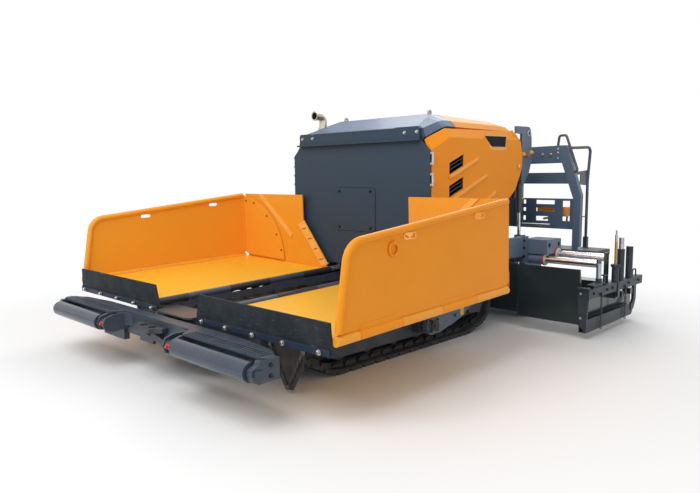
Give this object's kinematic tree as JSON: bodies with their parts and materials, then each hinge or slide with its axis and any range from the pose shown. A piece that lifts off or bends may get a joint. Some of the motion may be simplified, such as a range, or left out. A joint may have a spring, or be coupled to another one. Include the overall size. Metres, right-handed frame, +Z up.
{
  "type": "tracked asphalt paver",
  "caption": "Compact tracked asphalt paver: folding hopper with push rollers in front, engine hood, operator's stand, auger and extending floating screed behind",
  "frame": {"origin": "centre of the bounding box's footprint, on the ground under the tracks", "axes": "+X forward to the push rollers, +Y to the machine's left, +Z up"},
  "size_m": [4.6321, 3.536, 2.051],
  "materials": {
    "machine_paint": "gloss orange-yellow paint",
    "dark_paint": "satin slate grey paint",
    "bare_steel": "worn bright steel",
    "cast_dark": "dark cast steel",
    "rubber_black": "matt",
    "plastic_black": "matt",
    "rail_paint": "satin black paint",
    "exhaust_steel": "heat-dulled",
    "brass_dull": "dull"
  },
  "bodies": {
    "tractor": {"chassis_frame": "dark_paint", "engine_deck": "dark_paint", "conveyor_floor": "bare_steel", "conveyor_slats": "cast_dark", "track_loop_left": "rubber_black", "track_loop_right": "rubber_black", "track_wheels_left": "cast_dark", "track_wheels_right": "cast_dark", "track_frame_left": "dark_paint", "track_frame_right": "dark_paint", "push_carrier": "dark_paint", "track_deflector_left": "rubber_black", "track_deflector_right": "rubber_black", "hood_front": "dark_paint", "hood_top": "machine_paint", "hood_rear": "dark_paint", "exhaust": "exhaust_steel", "engine_block": "cast_dark", "rear_mast_left": "dark_paint", "rear_mast_right": "dark_paint", "auger_carrier": "dark_paint", "tunnel_plates": "dark_paint"},
    "push_beam_body": {"push_beam": "dark_paint", "tow_hook": "cast_dark"},
    "screed_body": {"screed_box": "dark_paint", "screed_frame": "dark_paint", "stand_frame": "dark_paint", "footboard": "dark_paint", "console": "plastic_black", "handrails": "rail_paint"},
    "lift_barrel_body": {"lift_barrels": "dark_paint"},
    "lift_rod_body": {"lift_rods": "bare_steel"},
    "wing_left": {"hopper_wing_left": "machine_paint", "front_flap_left": "rubber_black"},
    "wall_left": {"side_wall_left": "machine_paint"},
    "door_left": {"side_door_left": "machine_paint"},
    "extension_left_body": {"extension_left": "dark_paint", "gate_guides_left": "bare_steel"},
    "gate_left_body": {"end_gate_left": "dark_paint"},
    "auger_left_body": {"auger_left": "cast_dark"},
    "push_roller_left_body": {"push_roller_left": "bare_steel"},
    "wing_right": {"hopper_wing_right": "machine_paint", "front_flap_right": "rubber_black"},
    "wall_right": {"side_wall_right": "machine_paint"},
    "door_right": {"side_door_right": "machine_paint"},
    "extension_right_body": {"extension_right": "dark_paint", "gate_guides_right": "bare_steel"},
    "gate_right_body": {"end_gate_right": "dark_paint"},
    "auger_right_body": {"auger_right": "cast_dark"},
    "push_roller_right_body": {"push_roller_right": "bare_steel"}
  },
  "joints": [
    {"name": "push_beam_swing", "type": "hinge", "parent": "tractor", "child": "push_beam_body", "pos_m": [2.018, 0, 0.353], "axis": [0, 0, 1], "range_deg": [-3, 3]},
    {"name": "screed_lift", "type": "hinge", "parent": "tractor", "child": "screed_body", "pos_m": [0.213, 0, 0.212], "axis": [0, 1, 0], "range_deg": [-1.2, 6]},
    {"name": "lift_barrel_swing", "type": "hinge", "parent": "tractor", "child": "lift_barrel_body", "pos_m": [-1.472, 0, 1.48], "axis": [0, 1, 0], "range_deg": [-6.39, 1.32]},
    {"name": "lift_rod_slide", "type": "slide", "parent": "lift_barrel_body", "child": "lift_rod_body", "axis": [-0.0357, 0, -0.9994], "range_m": [-0.1765, 0.0361]},
    {"name": "wing_fold_left", "type": "hinge", "parent": "tractor", "child": "wing_left", "pos_m": [1.06843, 0.306, 0.50435], "axis": [0.9995, 0, -0.0318], "range_deg": [0, 48]},
    {"name": "wall_tilt_left", "type": "hinge", "parent": "wing_left", "child": "wall_left", "pos_m": [1.06945, 1.6, 0.53633], "axis": [-0.9995, 0, 0.0318], "range_deg": [0, 45]},
    {"name": "door_swing_left", "type": "hinge", "parent": "tractor", "child": "door_left", "pos_m": [0.06, 0.85, 1.46], "axis": [0, 0, -1], "range_deg": [0, 80]},
    {"name": "extension_slide_left", "type": "slide", "parent": "screed_body", "child": "extension_left_body", "axis": [0, -1, 0], "range_m": [0, 0.45]},
    {"name": "gate_lift_left", "type": "slide", "parent": "extension_left_body", "child": "gate_left_body", "axis": [0, 0, 1], "range_m": [0, 0.08]},
    {"name": "auger_spin_left", "type": "hinge", "parent": "tractor", "child": "auger_left_body", "pos_m": [-1.142, 0.45, 0.33], "axis": [0, 1, 0], "continuous": true},
    {"name": "push_roller_spin_left", "type": "hinge", "parent": "push_beam_body", "child": "push_roller_left_body", "pos_m": [2.255, 0.51, 0.348], "axis": [0, 1, 0], "continuous": true},
    {"name": "wing_fold_right", "type": "hinge", "parent": "tractor", "child": "wing_right", "pos_m": [1.06843, -0.306, 0.50435], "axis": [-0.9995, 0, 0.0318], "range_deg": [0, 48]},
    {"name": "wall_tilt_right", "type": "hinge", "parent": "wing_right", "child": "wall_right", "pos_m": [1.06945, -1.6, 0.53633], "axis": [0.9995, 0, -0.0318], "range_deg": [0, 45]},
    {"name": "door_swing_right", "type": "hinge", "parent": "tractor", "child": "door_right", "pos_m": [0.06, -0.85, 1.46], "axis": [0, 0, 1], "range_deg": [0, 80]},
    {"name": "extension_slide_right", "type": "slide", "parent": "screed_body", "child": "extension_right_body", "axis": [0, 1, 0], "range_m": [0, 0.45]},
    {"name": "gate_lift_right", "type": "slide", "parent": "extension_right_body", "child": "gate_right_body", "axis": [0, 0, 1], "range_m": [0, 0.08]},
    {"name": "auger_spin_right", "type": "hinge", "parent": "tractor", "child": "auger_right_body", "pos_m": [-1.142, -0.45, 0.33], "axis": [0, 1, 0], "continuous": true},
    {"name": "push_roller_spin_right", "type": "hinge", "parent": "push_beam_body", "child": "push_roller_right_body", "pos_m": [2.255, -0.51, 0.348], "axis": [0, 1, 0], "continuous": true}
  ],
  "couplings": [
    {"joint": "lift_barrel_swing", "follows": "screed_lift", "ratio": -1.0568},
    {"joint": "lift_rod_slide", "follows": "screed_lift", "m_per_rad": -1.6763}
  ]
}
